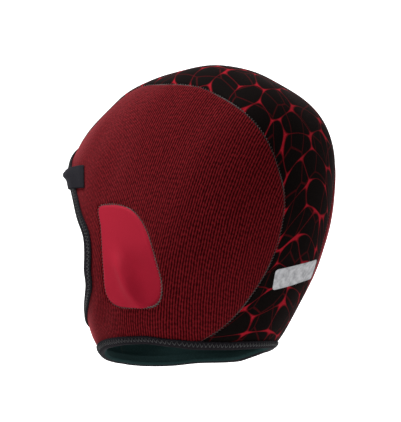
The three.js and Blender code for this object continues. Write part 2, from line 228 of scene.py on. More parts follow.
# Points of the outer face along directions from the ear axis
def skin_along(direction):
    unit = direction / np.linalg.norm(direction, axis=-1, keepdims=True)
    x, y, z = unit[..., 0], unit[..., 1], unit[..., 2]
    turn = np.arctan2(y, z)
    back = np.sin(turn) / np.where(np.sin(turn) > 0, BACK_REACH, FRONT_REACH)
    up = np.cos(turn) / np.where(np.cos(turn) > 0, CROWN_RISE, NECK_DROP)
    degrees = np.degrees(turn)
    reach = profile_value(degrees, 1) / np.hypot(back, up)
    power = profile_value(degrees, 2)
    level = np.hypot(y, z)
    total = (level / reach) ** power + (np.abs(x) / (CAP_WIDTH / 2)) ** power
    radius = total ** (-1 / power)
    side = np.degrees(np.arctan2(x, level))
    for dent_turn, dent_side, spread, depth in DENTS:
        away_turn = (degrees - dent_turn + 180) % 360 - 180
        away = (away_turn * np.cos(np.radians(dent_side))) ** 2 + (side - dent_side) ** 2
        radius = radius - depth * MM * np.exp(-away / (2 * spread * spread))
    return EAR_AXIS + unit * radius[..., None]


def on_skin(points):
    return skin_along(points - EAR_AXIS)


def skin_at(turn, side):
    turn, side = np.radians(turn), np.radians(side)
    level = np.cos(side)
    return skin_along(np.stack([np.sin(side), level * np.sin(turn), level * np.cos(turn)], -1))


# Outward normals of the cap near its outer face
def normal_at(points):
    out = points - EAR_AXIS
    out = out / np.linalg.norm(out, axis=-1, keepdims=True)
    helper = np.where(np.abs(out[..., 2:3]) < 0.9, np.array([0.0, 0, 1]), np.array([0.0, 1, 0]))
    first = np.cross(out, helper)
    first /= np.linalg.norm(first, axis=-1, keepdims=True)
    second = np.cross(out, first)
    step = 0.01
    slope_one = skin_along(out + first * step) - skin_along(out - first * step)
    slope_two = skin_along(out + second * step) - skin_along(out - second * step)
    normal = np.cross(slope_one, slope_two)
    normal /= np.linalg.norm(normal, axis=-1, keepdims=True)
    return normal * np.sign((normal * out).sum(-1))[..., None]


def below(points, depth):
    return points - normal_at(points) * np.asarray(depth)[..., None]


# Dense centripetal curve through knots, and the index share of each point
def smooth_curve(knots, samples=24, closed=False):
    knots = np.asarray(knots, float)
    if closed:
        knots = np.vstack([knots[-1:], knots, knots[:2]])
    else:
        knots = np.vstack([2 * knots[0] - knots[1], knots, 2 * knots[-1] - knots[-2]])
    lines = []
    places = []
    for index in range(1, len(knots) - 2):
        a, b, c, d = knots[index - 1:index + 3]
        times = np.cumsum([0] + [max(np.linalg.norm(q - p) ** 0.5, 1e-6) for p, q in ((a, b), (b, c), (c, d))])
        t = np.linspace(times[1], times[2], samples, endpoint=False)[:, None]
        ab = (times[1] - t) / (times[1] - times[0]) * a + (t - times[0]) / (times[1] - times[0]) * b
        bc = (times[2] - t) / (times[2] - times[1]) * b + (t - times[1]) / (times[2] - times[1]) * c
        cd = (times[3] - t) / (times[3] - times[2]) * c + (t - times[2]) / (times[3] - times[2]) * d
        abc = (times[2] - t) / (times[2] - times[0]) * ab + (t - times[0]) / (times[2] - times[0]) * bc
        bcd = (times[3] - t) / (times[3] - times[1]) * bc + (t - times[1]) / (times[3] - times[1]) * cd
        lines.append((times[2] - t) / (times[2] - times[1]) * abc + (t - times[1]) / (times[2] - times[1]) * bcd)
        places.append(index - 1 + np.arange(samples) / samples)
    if not closed:
        lines.append(knots[-2:-1])
        places.append([len(knots) - 3])
    return np.vstack(lines), np.concatenate(places)


# Points at equal distances along a dense line
def evenly(points, steps):
    lengths = np.concatenate([[0], np.cumsum(np.linalg.norm(np.diff(points, axis=0), axis=1))])
    wanted = np.linspace(0, lengths[-1], steps + 1)
    return np.stack([np.interp(wanted, lengths, points[:, axis]) for axis in range(3)], -1)


def skin_line(rows, steps, first=0, last=None):
    last = len(rows) - 1 if last is None else last
    knots = skin_at(np.array([row[0] for row in rows], float), np.array([row[1] for row in rows], float))
    points, places = smooth_curve(knots)
    inside = points[(places >= first - 1e-9) & (places <= last + 1e-9)]
    return on_skin(evenly(inside, steps))


# Unit directions along a line of points
def along_line(points, closed=False):
    if closed:
        step = np.roll(points, -1, axis=0) - np.roll(points, 1, axis=0)
    else:
        step = np.gradient(points, axis=0)
    return step / np.linalg.norm(step, axis=-1, keepdims=True)


# Points moved in the cloth across their line, to the wearer's left if the distance is positive
def moved_left(points, distance):
    across = np.cross(along_line(points), normal_at(points))
    across /= np.linalg.norm(across, axis=-1, keepdims=True)
    return on_skin(points + across * np.sign(across[:, :1]) * distance)


def mirrored(points):
    return points * np.array([-1.0, 1, 1])


# Points of the left outer face at distances back and up from the middle of the ear patch
def beside_ear(back, up):
    y = np.asarray(back, float) - EAR_PATCH_FORWARD
    z = np.asarray(up, float) + EAR_PATCH_RISE + EAR_AXIS[2]
    inside = np.zeros_like(y)
    outside = np.full_like(y, CAP_WIDTH)
    for _ in range(40):
        middle = (inside + outside) / 2
        point = np.stack([middle, y, z], -1)
        skin = on_skin(point)
        within = np.linalg.norm(point - EAR_AXIS, axis=-1) < np.linalg.norm(skin - EAR_AXIS, axis=-1)
        inside = np.where(within, middle, inside)
        outside = np.where(within, outside, middle)
    return np.stack([inside, y, z], -1)


# Reach of the ear patch outline at angles about its middle
def ear_reach(angles):
    knots = [(back * EAR_PATCH_WIDTH, up * EAR_PATCH_HEIGHT, 0) for back, up in EAR_OUTLINE]
    points, _ = smooth_curve(knots, closed=True)
    turn = np.degrees(np.arctan2(points[:, 0], points[:, 1])) % 360
    order = np.argsort(turn)
    reach = np.hypot(points[:, 0], points[:, 1])
    return np.interp(np.asarray(angles) % 360, turn[order], reach[order], period=360)


def ear_outline(angles, gap):
    reach = ear_reach(angles) - gap
    turn = np.radians(angles)
    return beside_ear(reach * np.sin(turn), reach * np.cos(turn))


def fan_angles():
    steps = (SEAM_STEPS, NECK_STEPS, STRAP_HEIGHT_STEPS, FACE_STEPS)
    ends = FAN + (FAN[0] + 360,)
    runs = [np.linspace(ends[i], ends[i + 1], steps[i], endpoint=False) for i in range(4)]
    return np.concatenate(runs)


seam_line = skin_line(SEAM, SEAM_STEPS)
neck_side = skin_line(NECK_EDGE, NECK_STEPS, 0, NECK_STRAP_ROW)
neck_chin = skin_line(NECK_EDGE, STRAP_STEPS, NECK_STRAP_ROW)
face_chin = skin_line(FACE_EDGE, STRAP_STEPS, 0, FACE_STRAP_ROW)
face_side = skin_line(FACE_EDGE, FACE_STEPS, FACE_STRAP_ROW)
neck_line = np.vstack([neck_side, neck_chin[1:]])
face_line = np.vstack([face_chin, face_side[1:]])


# Smooth step of numbers between two levels
def smooth_step(values, low, high):
    share = np.clip((values - low) / (high - low), 0, 1)
    return share * share * (3 - 2 * share)


# Points of the worn cap, slid round the head where the nape sits askew
def askew(points):
    out = points - EAR_AXIS
    turn = np.degrees(np.arctan2(out[:, 1], out[:, 2]))
    side = np.degrees(np.arctan2(out[:, 0], np.hypot(out[:, 1], out[:, 2])))
    start, full, fading, end = ASKEW_TURNS
    share = smooth_step(turn % 360, start, full) - smooth_step(turn % 360, fading, end)
    slide = ASKEW * share * np.cos(np.radians(side)) ** 2
    rise = np.linalg.norm(out, axis=1) - np.linalg.norm(skin_along(out) - EAR_AXIS, axis=1)
    skin = skin_at(turn, side - slide)
    way = skin - EAR_AXIS
    return skin + way / np.linalg.norm(way, axis=1, keepdims=True) * rise[:, None]


# Mesh object from points and faces, with one material number per face
def add_mesh(name, points, faces, materials, numbers=None, smooth=True):
    mesh = bpy.data.meshes.new(name)
    corners = askew(np.asarray(points)).tolist()
    mesh.from_pydata(corners, [], [tuple(int(i) for i in face) for face in faces])
    for material in materials:
        mesh.materials.append(material)
    if numbers is not None:
        mesh.polygons.foreach_set("material_index", np.asarray(numbers, dtype=np.int32))
    mesh.polygons.foreach_set("use_smooth", [smooth] * len(mesh.polygons))
    mesh.validate()
    mesh.update()
    piece = bpy.data.objects.new(name, mesh)
    bpy.context.scene.collection.objects.link(piece)
    return piece


# Quads of a grid of points, closed round as a ring if asked
def grid_faces(rows, columns, ring):
    last = columns if ring else columns - 1
    row, column = np.meshgrid(np.arange(rows - 1), np.arange(last), indexing="ij")
    after = (column + 1) % columns
    return np.stack([row * columns + column, row * columns + after, (row + 1) * columns + after,
                     (row + 1) * columns + column], -1).reshape(-1, 4)


# Signed volume tells whether the faces point out
def points_out(points, faces):
    total = 0.0
    for first in range(1, faces.shape[1] - 1):
        a, b, c = points[faces[:, 0]], points[faces[:, first]], points[faces[:, first + 1]]
        total += (a * np.cross(b, c)).sum()
    return total > 0


# Closed cloth piece: outer face, lining and the cut edge between them
def cloth_piece(name, points, faces, lift, materials):
    count = len(points)
    lift = np.broadcast_to(np.asarray(lift, float), (count,))
    top = below(points, -lift)
    bottom = below(points, WALL - np.minimum(lift, 0))
    edge_of = {}
    for face in faces:
        for i in range(4):
            edge_of[(face[i], face[(i + 1) % 4])] = True
    rim = [(b, a, a + count, b + count) for a, b in edge_of if (b, a) not in edge_of]
    rim = np.array(rim)
    all_faces = np.vstack([faces, faces[:, ::-1] + count, rim])
    everything = np.vstack([top, bottom])
    if not points_out(everything, all_faces):
        all_faces = all_faces[:, ::-1]
    numbers = np.concatenate([np.zeros(len(faces)), np.ones(len(faces)), np.full(len(rim), 2)])
    return add_mesh(name, everything, all_faces, materials, numbers)


# How far the cloth sinks beside a seam or edge at a distance from it
def seam_dip(distance, depth=0.7 * MM, width=1.6 * MM):
    return -depth * np.exp(-(distance / width) ** 2)


RANDOM = np.random.default_rng(7)
RIPPLE_WAYS = RANDOM.normal(size=(7, 3))
RIPPLE_WAYS /= np.linalg.norm(RIPPLE_WAYS, axis=1, keepdims=True)
RIPPLE_LENGTHS = RANDOM.uniform(26, 62, size=7) * MM
RIPPLE_STARTS = RANDOM.uniform(0, 2 * math.pi, size=7)


# Soft unevenness of the worn cloth
def ripple(points, height=0.1 * MM):
    waves = points @ RIPPLE_WAYS.T * 2 * math.pi / RIPPLE_LENGTHS + RIPPLE_STARTS
    return height * np.sin(waves).sum(-1)


# Shares along a line of a length, close together near both ends
def ring_shares(length):
    near = np.array([0, 0.35, 0.75, 1.2, 1.8, 2.6, 3.8, 5.4, 7.5]) * MM * min(1, length / (32 * MM))
    middle = np.linspace(near[-1], length - near[-1], PANEL_RINGS - 2 * len(near) + 2)[1:-1]
    return np.concatenate([near, middle, length - near[::-1]]) / length


# Rim round the side panel: seam, neck edge, root of the chin strap, face edge
def side_edge(strap):
    seam = moved_left(seam_line, SEAM_GAP / 2)
    return np.vstack([seam, neck_side[1:-1], strap[:, 0], face_side[1:-1]])


def strap_grid():
    upper = face_chin[::-1]
    share = np.linspace(0, 1, STRAP_HEIGHT_STEPS + 1)[:, None, None]
    grid = on_skin(neck_chin * (1 - share) + upper * share)
    grid[..., 0] = np.maximum(grid[..., 0], SEAM_GAP / 2)
    return grid


# Place of each point on the cloth laid flat: distance over the skin from the side of the head, back and up
def knit_place(points):
    out = points - EAR_AXIS
    turn = np.arctan2(out[:, 1], out[:, 2])
    side = np.arctan2(out[:, 0], np.hypot(out[:, 1], out[:, 2]))
    share = np.linspace(0, 1, 25)
    sides = math.pi / 2 + (side[:, None] - math.pi / 2) * share
    path = skin_at(np.degrees(turn)[:, None], np.degrees(sides))
    length = np.linalg.norm(np.diff(path, axis=1), axis=-1).sum(axis=1)
    return np.stack([length * np.sin(turn), length * np.cos(turn), np.zeros(len(points))], -1)


# Places on the flat cloth for the outer points and the same for the inner ones
def add_place(piece, name, place):
    layer = piece.data.attributes.new(name, "FLOAT_VECTOR", "POINT")
    layer.data.foreach_set("vector", np.vstack([place, place]).reshape(-1))


# Side panel: a ring of rows round the ear patch and the chin strap that grows out of it
def side_panel(name, node, left, materials):
    strap = strap_grid()
    edge = side_edge(strap)
    hole = ear_outline(fan_angles(), 0)
    lengths = np.linalg.norm(hole - edge, axis=1)
    shares = np.stack([ring_shares(length) for length in lengths], 1)
    rings = on_skin(edge + (hole - edge) * shares[..., None])
    from_edge = np.where(np.arange(len(edge)) <= SEAM_STEPS, shares * lengths, 1.0)
    lift = seam_dip(from_edge) + seam_dip((1 - shares) * lengths)
    strap_lift = seam_dip(strap[:, 1:, 0])
    points = np.vstack([rings.reshape(-1, 3), strap[:, 1:].reshape(-1, 3)])
    lift = np.concatenate([lift.reshape(-1), strap_lift.reshape(-1)]) + ripple(points)
    root = SEAM_STEPS + NECK_STEPS
    start = rings.shape[0] * rings.shape[1]
    rows, columns = strap.shape[:2]
    number = np.empty((rows, columns), int)
    number[:, 0] = root + np.arange(rows)
    number[:, 1:] = start + np.arange(rows * (columns - 1)).reshape(rows, columns - 1)
    strap_faces = number.reshape(-1)[grid_faces(rows, columns, False)]
    faces = np.vstack([grid_faces(rings.shape[0], rings.shape[1], True), strap_faces])
    place = knit_place(points)
    if not left:
        points = mirrored(points)
    piece = cloth_piece(name, points, faces, lift, materials)
    add_place(piece, "knit_place", place)
    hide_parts(node)
    return finish_piece(piece)


# Relief of the moulded ear form at distances back and up from the middle of the patch
def ear_relief(back, up):
    beside = back + 5 * MM + up * 0.39
    window = np.exp(-np.abs((up + 19 * MM) / (18 * MM)) ** 3)
    behind = 1.2 * MM * np.log1p(np.exp(beside / (1.2 * MM)))
    ridge = 4.0 * MM * np.exp(-((beside + 1 * MM) / (6 * MM)) ** 2)
    hollow = 7.0 * MM * (1 - np.exp(-behind / (6.5 * MM))) * np.exp(-(behind / (20 * MM)) ** 2)
    return window * (ridge - hollow)


def ear_patch(name, node, left, materials):
    angles = np.linspace(0, 360, 200, endpoint=False)
    reach = ear_reach(angles) - SEAM_GAP
    shares = 1 - np.linspace(0, 1, PATCH_RINGS) ** 1.7
    shares = shares[:-1]
    turn = np.radians(angles)
    back = shares[:, None] * reach * np.sin(turn)
    up = shares[:, None] * reach * np.cos(turn)
    rings = beside_ear(back, up)
    centre = beside_ear(np.array([0.0]), np.array([0.0]))
    lift = ear_relief(back, up) + seam_dip((1 - shares[:, None]) * reach, 0.6 * MM, 1.2 * MM) + 0.25 * MM
    count = rings.shape[0] * rings.shape[1]
    points = np.vstack([rings.reshape(-1, 3), centre])
    lift = np.concatenate([lift.reshape(-1), ear_relief(np.zeros(1), np.zeros(1)) + 0.25 * MM])
    faces = grid_faces(rings.shape[0], rings.shape[1], True)
    last = count - rings.shape[1]
    column = np.arange(0, rings.shape[1], 2)
    size = rings.shape[1]
    fan = np.stack([last + column, last + (column + 1) % size, last + (column + 2) % size,
                    np.full(len(column), count)], -1)
    faces = np.vstack([faces, fan])
    if not left:
        points = mirrored(points)
    piece = cloth_piece(name, points, faces, lift, materials)
    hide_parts(node)
    return finish_piece(piece)


# Rows of the centre panel from the left seam to the right seam
def centre_grid():
    rows, _ = smooth_curve(skin_at(np.array([row[2] for row in SEAM], float), np.zeros(len(SEAM))))
    middle = on_skin(evenly(rows, SEAM_STEPS))
    start = moved_left(seam_line, -SEAM_GAP / 2)
    across = np.sin(np.linspace(-1, 1, CENTRE_STEPS + 1) * math.pi / 2)
    grid = middle[:, None] + (start - middle)[:, None] * (across ** 2)[None, :, None]
    grid[..., 0] = -start[:, :1] * across
    return on_skin(grid), across


def centre_panel(materials):
    grid, across = centre_grid()
    rows, columns = grid.shape[:2]
    steps = np.linalg.norm(np.diff(grid, axis=1), axis=-1)
    out = np.concatenate([np.zeros((rows, 1)), np.cumsum(steps, axis=1)], axis=1)
    width = out[:, -1:]
    lift = seam_dip(np.minimum(out, width - out)) + ripple(grid)
    middle = grid[:, columns // 2]
    along = np.concatenate([[0], np.cumsum(np.linalg.norm(np.diff(middle, axis=0), axis=1))])
    piece = cloth_piece("centre_panel_cloth", grid.reshape(-1, 3), grid_faces(rows, columns, False),
                        lift.reshape(-1), materials)
    place = np.stack([out - width / 2, np.repeat(along[:, None], columns, axis=1), np.zeros((rows, columns))], -1)
    add_place(piece, "net_place", place.reshape(-1, 3))
    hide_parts("centre_panel")
    return finish_piece(piece)


def finish_piece(piece):
    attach(piece, "root")
    return piece


# Closed edge loops at even steps
def face_loop():
    grid, _ = centre_grid()
    right = mirrored(face_line)[::-1]
    return np.vstack([face_line, grid[0, 1:-1], right[:-1]])


def neck_loop():
    grid, _ = centre_grid()
    right = mirrored(neck_line)[::-1]
    return np.vstack([neck_line, right[1:], grid[-1, 1:-1][::-1]])


def even_loop(loop, step):
    closed = np.vstack([loop, loop[:1]])
    length = np.linalg.norm(np.diff(closed, axis=0), axis=1).sum()
    return on_skin(evenly(closed, int(round(length / step)))[:-1])


# Directions out past the edge at each station of a loop
def loop_across(loop):
    across = np.cross(along_line(loop, True), normal_at(loop))
    across /= np.linalg.norm(across, axis=-1, keepdims=True)
    inward = loop.mean(axis=0) - loop
    return across * np.sign((across * inward).sum(-1))[:, None]


# Points beside each station: out past the edge, and up from the cloth's outer face
def beside_loop(loop, across, out, up):
    base = loop + across * out[..., None]
    skin = np.where((out < 0)[..., None], on_skin(base), base)
    return skin + normal_at(skin) * (up + ripple(skin))[..., None]


# Section of a folded tape: distances out past the edge and up from the outer face, with round corners
def fold_section(lap, inner_lap, clearance, thickness, nose=0.0):
    far = clearance + thickness
    low = -WALL - clearance
    round_steps = np.linspace(0, math.pi, 5)
    outline = []
    for turn in round_steps:
        outline.append((-lap - 0.4 * MM * math.sin(turn), clearance + thickness * (1 - math.cos(turn)) / 2))
    for share in (0.75, 0.5, 0.25, 0.08):
        outline.append((-lap * share, far))
    middle = (far + low - thickness) / 2
    tall = (far - low + thickness) / 2
    for turn in np.linspace(0, math.pi, 9):
        outline.append((clearance + (thickness + nose) * math.sin(turn), middle + tall * math.cos(turn)))
    for share in (0.3, 0.7):
        outline.append((-inner_lap * share, low - thickness))
    for turn in round_steps:
        outline.append((-inner_lap - 0.4 * MM * math.sin(turn), low - thickness * (1 + math.cos(turn)) / 2))
    outline.append((0.0, low))
    outline.append((clearance * 0.6, low * 0.5))
    outline.append((0.0, clearance))
    return np.array(outline)


def ring_piece(name, rows, materials, numbers):
    sides = rows.shape[1]
    count = rows.shape[0]
    closed = np.vstack([rows.reshape(-1, 3)])
    row, side = np.meshgrid(np.arange(count), np.arange(sides), indexing="ij")
    after, beside = (row + 1) % count, (side + 1) % sides
    faces = np.stack([row * sides + side, row * sides + beside, after * sides + beside, after * sides + side], -1)
    faces = faces.reshape(-1, 4)
    if not points_out(closed, faces):
        faces = faces[:, ::-1]
    return add_mesh(name, closed, faces, materials, np.tile(numbers, count))


STITCH_PITCH = 2.6 * MM
CHEEK_HEIGHT = -148 * MM
CHEEK_BULGE = 1.6 * MM


def edge_tape(name, node, loop, materials, bulge=0.0):
    loop = even_loop(loop, STITCH_PITCH / 4)
    across = loop_across(loop)
    section = fold_section(TAPE_WIDTH, TAPE_WIDTH, TAPE_CLEARANCE, TAPE_THICKNESS)
    out = np.broadcast_to(section[:, 0], (len(loop), len(section)))
    phase = np.arange(len(loop))[:, None] * math.pi / 2
    top = (section[:, 1] > TAPE_CLEARANCE + TAPE_THICKNESS * 0.9) & (section[:, 0] < 0)
    pucker = np.where(top, 0.16 * MM * np.cos(phase), 0)
    edge_wave = np.where(section[:, 0] < -TAPE_WIDTH * 0.9, 0.22 * MM * np.cos(phase), 0)
    up = section[:, 1] + pucker
    swell = bulge * np.exp(-((loop[:, 2:] - CHEEK_HEIGHT) / (22 * MM)) ** 2) * (section[:, 0] > TAPE_CLEARANCE)
    rows = beside_loop(loop[:, None], across[:, None], out + edge_wave + swell, up)
    inner = section[:, 1] < -WALL * 0.3
    piece = ring_piece(name, rows, materials, inner.astype(int))
    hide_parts(node)
    return finish_piece(piece)


# Round thread through points, as a closed mesh
def thread_mesh(lines, radius, sides=5):
    points, faces = [], []
    start = 0
    for line in lines:
        line = np.asarray(line)
        ways = along_line(line)
        helper = np.where(np.abs(ways[:, 2:3]) < 0.8, np.array([0.0, 0, 1]), np.array([1.0, 0, 0]))
        first = np.cross(ways, helper)
        first /= np.linalg.norm(first, axis=-1, keepdims=True)
        second = np.cross(ways, first)
        turn = np.arange(sides) * 2 * math.pi / sides
        ring = line[:, None] + radius * (first[:, None] * np.cos(turn)[:, None] + second[:, None] * np.sin(turn)[:, None])
        points.append(ring.reshape(-1, 3))
        quads = grid_faces(len(line), sides, True) + start
        faces.extend(quads[:, ::-1].tolist())
        faces.append([start + i for i in range(sides)])
        faces.append([start + (len(line) - 1) * sides + i for i in reversed(range(sides))])
        start += len(line) * sides
    return np.vstack(points), faces


def thread_piece(name, lines, radius, material):
    points, faces = thread_mesh(lines, radius)
    piece = add_mesh(name, points, faces, [material])
    return finish_piece(piece)


# Zigzag stitches over the outer leg of a tape
def zigzag(name, loop, material):
    loop = even_loop(loop, STITCH_PITCH / 2)
    across = loop_across(loop)
    count = len(loop) - len(loop) % 2
    lines = []
    height = TAPE_CLEARANCE + TAPE_THICKNESS
    for index in range(count):
        after = (index + 1) % len(loop)
        ends = (-1.6 * MM, -4.9 * MM) if index % 2 else (-4.9 * MM, -1.6 * MM)
        share = np.array([0, 0.15, 0.5, 0.85, 1])
        base = loop[index] + (loop[after] - loop[index]) * share[:, None]
        way = across[index] + (across[after] - across[index]) * share[:, None]
        out = ends[0] + (ends[1] - ends[0]) * share
        up = height + np.array([-0.25, 0.18, 0.26, 0.18, -0.25]) * MM
        lines.append(beside_loop(base, way, out, up))
    return thread_piece(name, lines, 0.24 * MM, material)


# Sewn cord that fills the narrow gap of a seam
def seam_cord(name, line, closed, material):
    points = np.vstack([line, line[:1]]) if closed else line
    length = np.linalg.norm(np.diff(points, axis=0), axis=1).sum()
    even = on_skin(evenly(points, int(length / (2.0 * MM))))
    return thread_piece(name, [below(even, np.full(len(even), 1.15 * MM))], 0.45 * MM, material)


# Short slanted stitches across a seam line
def seam_stitches(name, line, pitch, reach, material):
    length = np.linalg.norm(np.diff(line, axis=0), axis=1).sum()
    points = on_skin(evenly(line, int(length / pitch)))
    along = along_line(points)
    normal = normal_at(points)
    across = np.cross(along, normal)
    lines = []
    for index in range(1, len(points) - 1):
        share = np.linspace(-1, 1, 5)
        spot = points[index] + along[index] * (share * pitch * 0.34)[:, None] + across[index] * (share * reach)[:, None]
        rise = np.array([-0.85, -0.42, -0.3, -0.42, -0.85]) * MM
        skin = on_skin(spot)
        lines.append(skin + normal[index] * (rise + ripple(skin))[:, None])
    return thread_piece(name, lines, 0.2 * MM, material)


# Tab folded over the face tape at the left temple, with a rounded nose
def binding_tab(materials):
    line = evenly(face_side[::-1], 400)
    step = np.linalg.norm(line[1] - line[0])
    first = int(TAB_BELOW_SEAM / step)
    stations = on_skin(evenly(line[first:first + int(TAB_HEIGHT / step)], 32))
    along = stations[0] - stations[-1]
    along /= np.linalg.norm(along)
    middle = stations[len(stations) // 2]
    across = np.cross(along, normal_at(middle))
    across /= np.linalg.norm(across)
    across *= np.sign(across @ (face_loop().mean(axis=0) - middle))
    across = across + along * math.tan(TAB_SLANT)
    lower = TAPE_CLEARANCE + TAPE_THICKNESS + 0.1 * MM
    rows = []
    for station, share in zip(stations, np.linspace(0, 1, len(stations))):
        lap = TAB_UPPER_WIDTH + (TAB_LOWER_WIDTH - TAB_UPPER_WIDTH) * share
        section = fold_section(lap, TAB_INNER_WIDTH, lower, TAB_THICKNESS)
        out, up = section[:, 0], section[:, 1]
        sink = np.clip((-out - TAPE_WIDTH) / (2.5 * MM), 0, 1) * (lower - 0.2 * MM)
        nose = TAB_NOSE * np.exp(-((out - 1 * MM) / (3.4 * MM)) ** 2 - abs((share - 0.3) / 0.21) ** 3)
        up = np.where(up > 0, up - sink + nose, up)
        out = out + np.where(out > 0, nose, 0)
        rows.append(beside_loop(station[None], across[None], out, up))
    rows = np.array(rows)
    count, sides = rows.shape[:2]
    faces = grid_faces(count, sides, True).tolist()
    faces.append(list(reversed(range(sides))))
    faces.append([(count - 1) * sides + side for side in range(sides)])
    points = rows.reshape(-1, 3)
    if not points_out(points, np.array(faces[:-2])):
        faces = [face[::-1] for face in faces]
    piece = add_mesh("binding_tab_cloth", points, faces, materials)
    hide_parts("binding_tab")
    return finish_piece(piece)


# Thin slanted film strip on the nape, with rounded corners
def nape_strip(materials):
    across = np.sin(np.linspace(-1, 1, 49) * math.pi / 2) / 2
    rows = np.sin(np.linspace(1, -1, 17) * math.pi / 2) / 2
    along, up = np.meshgrid(across, rows)
    inset = np.clip(np.abs(up) * STRIP_HEIGHT - (STRIP_HEIGHT / 2 - STRIP_CORNER), 0, STRIP_CORNER)
    rounding = STRIP_CORNER - np.sqrt(np.maximum(STRIP_CORNER ** 2 - inset ** 2, 0))
    along = along * (1 - 2 * rounding / STRIP_LENGTH)
    x = STRIP_ASIDE - along * STRIP_LENGTH + up * STRIP_LEAN
    z = EAR_AXIS[2] - STRIP_BELOW_EARS + up * STRIP_HEIGHT + along * STRIP_RISE
    inside, outside = np.zeros_like(x), np.full_like(x, CAP_WIDTH)
    for _ in range(40):
        middle = (inside + outside) / 2
        point = np.stack([x, middle, z], -1)
        within = np.linalg.norm(point - EAR_AXIS, axis=-1) < np.linalg.norm(on_skin(point) - EAR_AXIS, axis=-1)
        inside = np.where(within, middle, inside)
        outside = np.where(within, outside, middle)
    skin = np.stack([x, inside, z], -1)
    normal = normal_at(skin)
    rise_up = ripple(skin)[..., None]
    top = (skin + normal * (0.35 * MM + rise_up)).reshape(-1, 3)
    bottom = (skin + normal * (0.08 * MM + rise_up)).reshape(-1, 3)
    faces = grid_faces(17, 49, False)
    edge_of = {(face[i], face[(i + 1) % 4]) for face in faces.tolist() for i in range(4)}
    count = len(top)
    rim = np.array([(b, a, a + count, b + count) for a, b in edge_of if (b, a) not in edge_of])
    all_faces = np.vstack([faces, faces[:, ::-1] + count, rim])
    points = np.vstack([top, bottom])
    if not points_out(points, all_faces):
        all_faces = all_faces[:, ::-1]
    piece = add_mesh("nape_strip_film", points, all_faces, materials)
    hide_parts("nape_strip")
    return finish_piece(piece)


# Node helpers
def new_material(name, roughness, sheen=0.0, sheen_tint=(1, 1, 1), sheen_roughness=0.5, specular=0.5):
    material = bpy.data.materials.new(name)
    material.use_nodes = True
    nodes = material.node_tree.nodes
    shader = nodes["Principled BSDF"]
    shader.inputs["Roughness"].default_value = roughness
    shader.inputs["Sheen Weight"].default_value = sheen
    shader.inputs["Sheen Tint"].default_value = (*sheen_tint, 1)
    shader.inputs["Sheen Roughness"].default_value = sheen_roughness
    shader.inputs["Specular IOR Level"].default_value = specular
    return material, nodes, material.node_tree.links, shader


def math_node(nodes, links, operation, first, second=None, third=None):
    node = nodes.new("ShaderNodeMath")
    node.operation = operation
    for index, value in enumerate((first, second, third)):
        if value is None:
            continue
        if isinstance(value, (int, float)):
            node.inputs[index].default_value = value
        else:
            links.new(value, node.inputs[index])
    return node.outputs[0]


def along_axis(nodes, links, vector, axis):
    node = nodes.new("ShaderNodeVectorMath")
    node.operation = "DOT_PRODUCT"
    links.new(vector, node.inputs[0])
    node.inputs[1].default_value = axis
    return node.outputs["Value"]


def noise(nodes, links, vector, scale, detail=2.0, roughness=0.5):
    node = nodes.new("ShaderNodeTexNoise")
    node.inputs["Scale"].default_value = scale
    node.inputs["Detail"].default_value = detail
    node.inputs["Roughness"].default_value = roughness
    links.new(vector, node.inputs["Vector"])
    return node.outputs["Fac"]


def mix_colour(nodes, links, factor, first, second, blend="MIX"):
    node = nodes.new("ShaderNodeMix")
    node.data_type = "RGBA"
    node.blend_type = blend
    for socket, value in ((node.inputs[0], factor), (node.inputs[6], first), (node.inputs[7], second)):
        if isinstance(value, tuple):
            socket.default_value = (*value, 1)
        elif isinstance(value, (int, float)):
            socket.default_value = value
        else:
            links.new(value, socket)
    return node.outputs[2]


def bump(nodes, links, shader, height, distance, strength=1.0):
    node = nodes.new("ShaderNodeBump")
    node.inputs["Distance"].default_value = distance
    node.inputs["Strength"].default_value = strength
    links.new(height, node.inputs["Height"])
    links.new(node.outputs["Normal"], shader.inputs["Normal"])


def object_place(nodes):
    return nodes.new("ShaderNodeTexCoord").outputs["Object"]


RIB_PITCH = 1.75 * MM
STITCH_LENGTH = 3.6 * MM
RIB_ACROSS = (0.951, -0.309, 0)
RIB_ALONG = (0.309, 0.951, 0)


